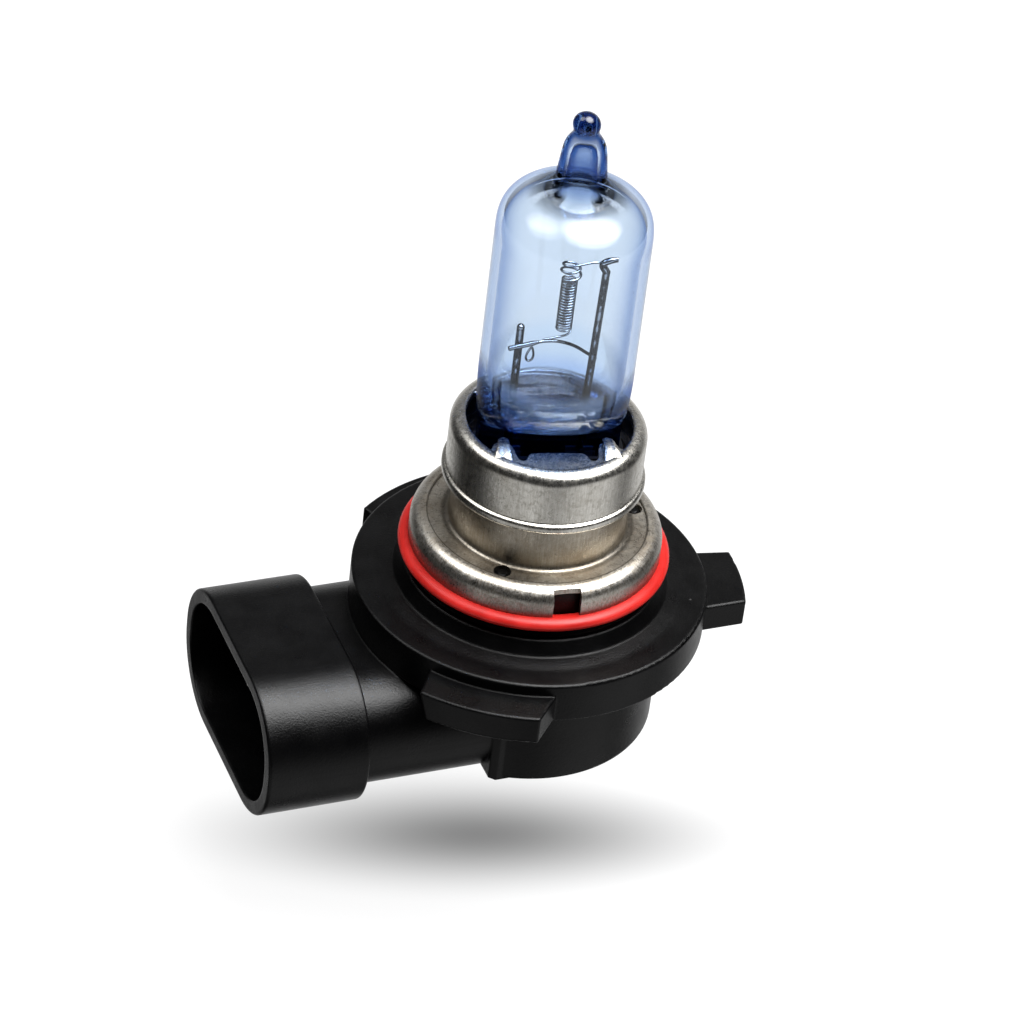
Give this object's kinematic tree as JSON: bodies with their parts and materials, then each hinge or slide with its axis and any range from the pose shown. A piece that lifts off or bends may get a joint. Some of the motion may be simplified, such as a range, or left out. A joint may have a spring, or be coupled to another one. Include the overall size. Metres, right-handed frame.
{
  "type": "headlight bulb",
  "caption": "Halogen headlight bulb: blue-tinted glass tube in a metal focus cup and base ring, red O-ring, black lugged flange and a side-facing oval plug socket.",
  "frame": {"origin": "on the bulb's axis, in the plane of the plastic flange's top seating face", "axes": "+Z along the bulb's axis towards the glass tip; the plug socket opens towards -X"},
  "size_m": [0.0421, 0.0318, 0.0578],
  "materials": {
    "blue_glass": "clear, blue tint, glossy",
    "wire_metal": "drawn wire, satin",
    "filament_metal": "dark drawn tungsten",
    "foil_metal": "matte rolled foil",
    "drawn_steel": "drawn, lightly stained",
    "red_silicone": "satin",
    "black_plastic": "fine-grained satin",
    "terminal_metal": "tin-plated",
    "sealing_compound": "dull"
  },
  "bodies": {
    "root": {"glass_envelope": "blue_glass", "long_lead_post": "wire_metal", "short_lead_post": "wire_metal", "filament_coil": "filament_metal", "filament_overwind": "filament_metal", "cross_sleeve": "wire_metal", "cross_support_wire": "wire_metal", "support_wire_loop": "wire_metal", "long_foil": "foil_metal", "short_foil": "foil_metal", "long_outer_lead": "wire_metal", "short_outer_lead": "wire_metal", "focus_cup": "drawn_steel", "pinch_clip": "drawn_steel", "base_ring": "drawn_steel", "o_ring": "red_silicone", "base_housing": "black_plastic", "long_terminal": "terminal_metal", "short_terminal": "terminal_metal", "terminal_carrier": "black_plastic", "potting_seal": "sealing_compound", "rear_cap": "black_plastic"}
  },
  "joints": []
}
